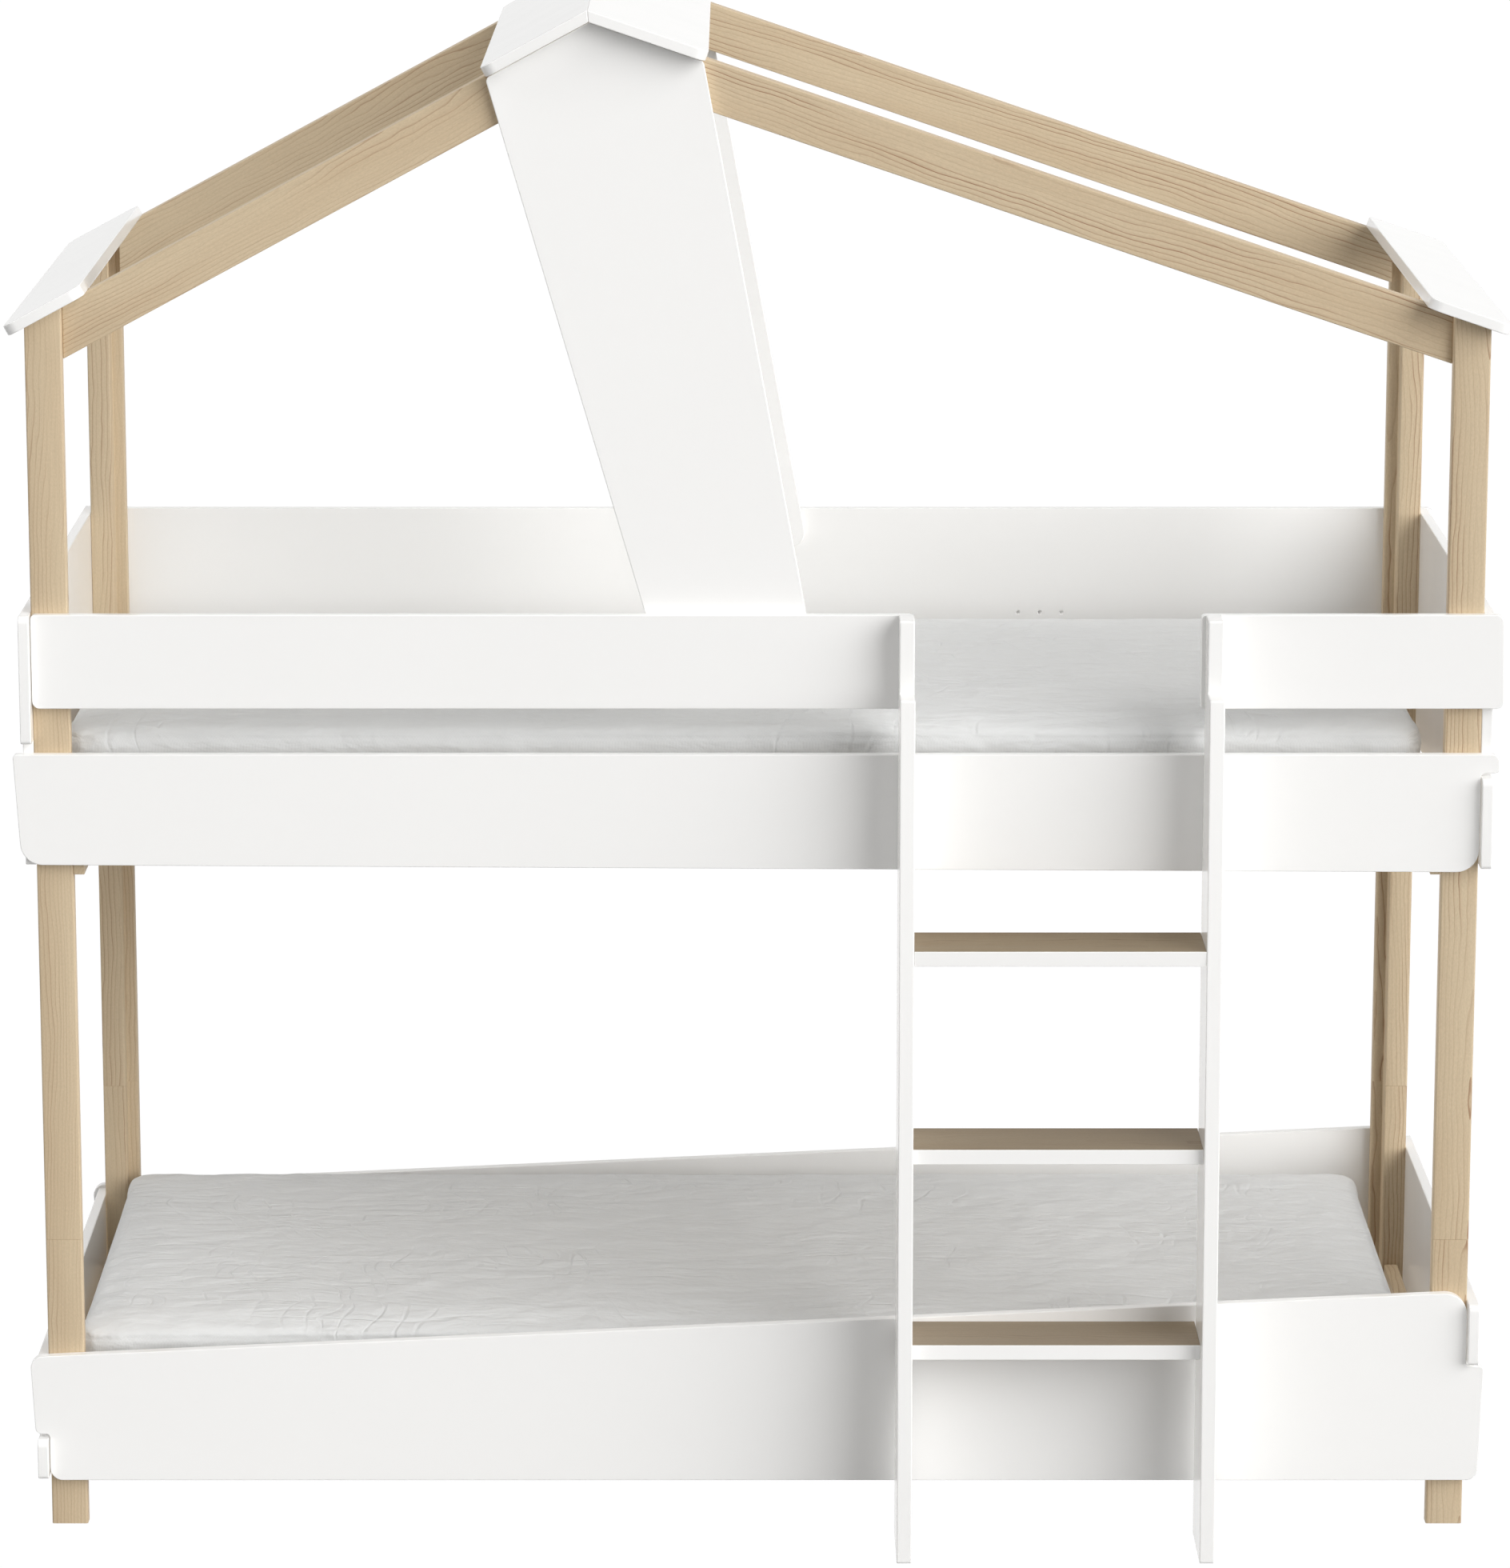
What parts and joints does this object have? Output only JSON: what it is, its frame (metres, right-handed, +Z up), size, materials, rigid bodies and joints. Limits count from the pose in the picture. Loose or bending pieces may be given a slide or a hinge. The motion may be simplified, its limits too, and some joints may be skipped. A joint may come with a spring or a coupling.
{
  "type": "bunk bed",
  "caption": "Bunk bed with a leaning house gable over the upper bunk, pine posts and rafters, white boards with interlocking corners, a bolted ladder and loose mattresses.",
  "frame": {"origin": "on the floor, at the middle of the bounding box that holds the bed and its ladder", "axes": "+X to the right along the bed seen from the ladder side, +Y from the ladder side to the wall side, +Z up"},
  "size_m": [2.1835, 1.1518, 2.2769],
  "materials": {
    "pine": "clear matt lacquer over pine",
    "white_paint": "smooth white satin paint on board",
    "mattress_cover": "soft pale grey woven cover",
    "zinc_steel": "zinc-plated steel"
  },
  "bodies": {
    "bed": {"cross_board_left": "pine", "cross_board_right": "pine", "eave_cap_left": "white_paint", "eave_cap_right": "white_paint", "end_rail_left": "pine", "end_rail_right": "pine", "gable_board_back": "white_paint", "gable_board_front": "white_paint", "guard_left": "white_paint", "guard_right": "white_paint", "ladder_bolt_left_lower": "zinc_steel", "ladder_bolt_left_upper": "zinc_steel", "ladder_bolt_right_lower": "zinc_steel", "ladder_bolt_right_upper": "zinc_steel", "ladder_stile_left": "white_paint", "ladder_stile_right": "white_paint", "ladder_tread_1": "pine", "ladder_tread_2": "pine", "ladder_tread_3": "pine", "ledger_lower_back": "pine", "ledger_lower_front": "pine", "ledger_upper_back": "pine", "ledger_upper_front": "pine", "lower_back_panel": "white_paint", "lower_end_left": "white_paint", "lower_end_right": "white_paint", "lower_front_panel": "white_paint", "lower_post_back_left": "pine", "lower_post_back_right": "pine", "lower_post_front_left": "pine", "lower_post_front_right": "pine", "post_dowel_back_left": "pine", "post_dowel_back_right": "pine", "post_dowel_front_left": "pine", "post_dowel_front_right": "pine", "rafter_back_left": "pine", "rafter_back_right": "pine", "rafter_front_left": "pine", "rafter_front_right": "pine", "ridge_cap_left": "white_paint", "ridge_cap_right": "white_paint", "slat_base_lower": "pine", "slat_base_upper": "pine", "upper_back_panel": "white_paint", "upper_end_left": "white_paint", "upper_end_right": "white_paint", "upper_front_rail": "white_paint", "upper_post_back_left": "pine", "upper_post_back_right": "pine", "upper_post_front_left": "pine", "upper_post_front_right": "pine"},
    "upper_mattress": {"mattress_upper": "mattress_cover"},
    "lower_mattress": {"mattress_lower": "mattress_cover"}
  },
  "joints": [
    {"name": "upper_mattress_lift", "type": "slide", "parent": "bed", "child": "upper_mattress", "axis": [0, 0, 1], "range_m": [0, 0.3]},
    {"name": "lower_mattress_lift", "type": "slide", "parent": "bed", "child": "lower_mattress", "axis": [0, 0, 1], "range_m": [0, 0.25]}
  ]
}
